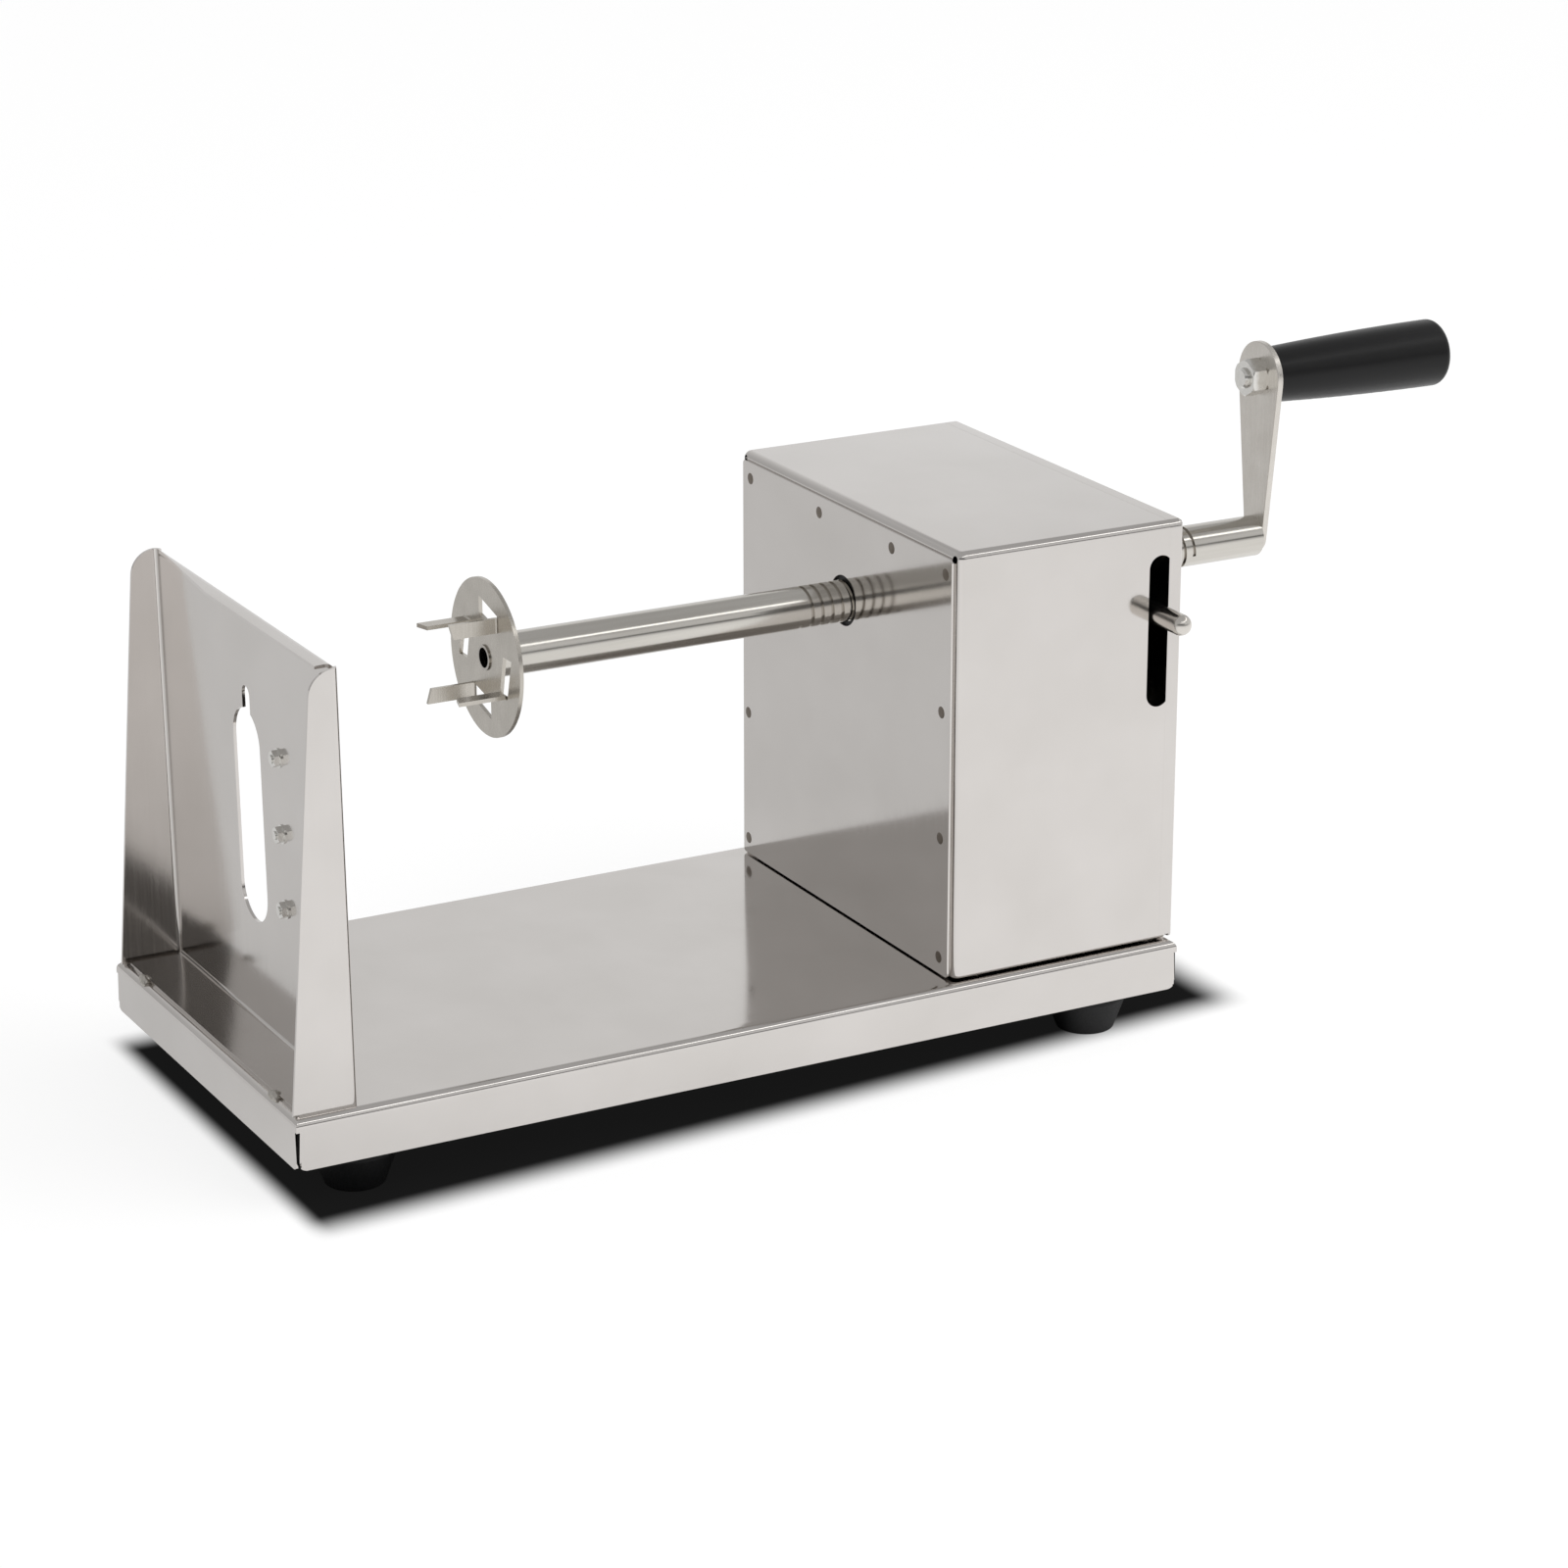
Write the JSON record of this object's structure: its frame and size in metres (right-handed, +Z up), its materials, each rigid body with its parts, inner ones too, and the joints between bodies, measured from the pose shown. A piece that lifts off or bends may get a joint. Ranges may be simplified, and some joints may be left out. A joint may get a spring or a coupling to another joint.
{
  "type": "tornado potato cutter",
  "caption": "Hand-cranked spiral potato cutter: a polished sheet-steel tray on rubber feet, a slotted blade stand, a box housing and a grooved push tube with a prong disc.",
  "frame": {"origin": "middle of the footprint, at the feet's underside", "axes": "+X from the blade stand to the crank, +Y to the side away from the lever rod, +Z up"},
  "size_m": [0.5328, 0.1872, 0.2392],
  "materials": {
    "polished_steel": "polished stainless sheet, near-mirror",
    "satin_steel": "satin stainless steel",
    "tube_steel": "turned stainless tube with a rolled groove",
    "blade_steel": "ground blade steel",
    "weld": "weld bead, brushed",
    "zinc": "bright zinc plated",
    "bearing_plastic": "black bearing plastic",
    "rubber": "black moulded rubber",
    "grip_plastic": "black plastic, satin"
  },
  "bodies": {
    "frame": {"base_tray": "polished_steel", "foot_left_near": "rubber", "foot_left_far": "rubber", "foot_right_near": "rubber", "foot_right_far": "rubber", "foot_washers": "zinc", "foot_screws": "zinc", "clinch_nuts": "zinc", "stand": "polished_steel", "stand_tack_welds": "weld", "blade": "blade_steel", "blade_spacers": "zinc", "blade_screws": "zinc", "blade_washers": "zinc", "blade_nuts": "zinc", "housing_cover": "polished_steel", "housing_front_plate": "polished_steel", "housing_rear_plate": "polished_steel", "housing_washers": "zinc", "housing_screws": "zinc", "housing_nuts": "zinc", "front_bearing_cup": "satin_steel", "rear_bearing_cup": "satin_steel", "lever_bracket": "satin_steel", "lever_pin": "satin_steel", "lever_spacers": "satin_steel"},
    "sleeves": {"front_sleeve": "bearing_plastic", "rear_sleeve": "bearing_plastic"},
    "spindle": {"drive_tube": "tube_steel", "skewer_tube": "satin_steel", "skewer_collar": "bearing_plastic", "prong_disc": "satin_steel", "crank_arm": "satin_steel", "handle_bolt": "zinc", "handle_washer": "zinc", "handle_nut": "zinc"},
    "handle_grip": {"grip": "grip_plastic"},
    "lever": {"lever_arm": "satin_steel", "lever_rod": "satin_steel"}
  },
  "joints": [
    {"name": "crank_turn", "type": "hinge", "parent": "frame", "child": "sleeves", "pos_m": [0.08505, 0.00715, 0.161], "axis": [-1, 0, 0], "range_deg": [-8784, 5040]},
    {"name": "shaft_feed", "type": "slide", "parent": "sleeves", "child": "spindle", "axis": [-1, 0, 0], "range_m": [-0.1039, 0.0597]},
    {"name": "grip_spin", "type": "hinge", "parent": "spindle", "child": "handle_grip", "pos_m": [0.21355, 0.00715, 0.2255], "axis": [1, 0, 0], "continuous": true},
    {"name": "lever_lift", "type": "hinge", "parent": "frame", "child": "lever", "pos_m": [0.08505, 0.05915, 0.161], "axis": [-1, 0, 0], "range_deg": [0, 7.5]}
  ],
  "couplings": [
    {"joint": "shaft_feed", "follows": "crank_turn", "m_per_rad": 0.00067641}
  ]
}
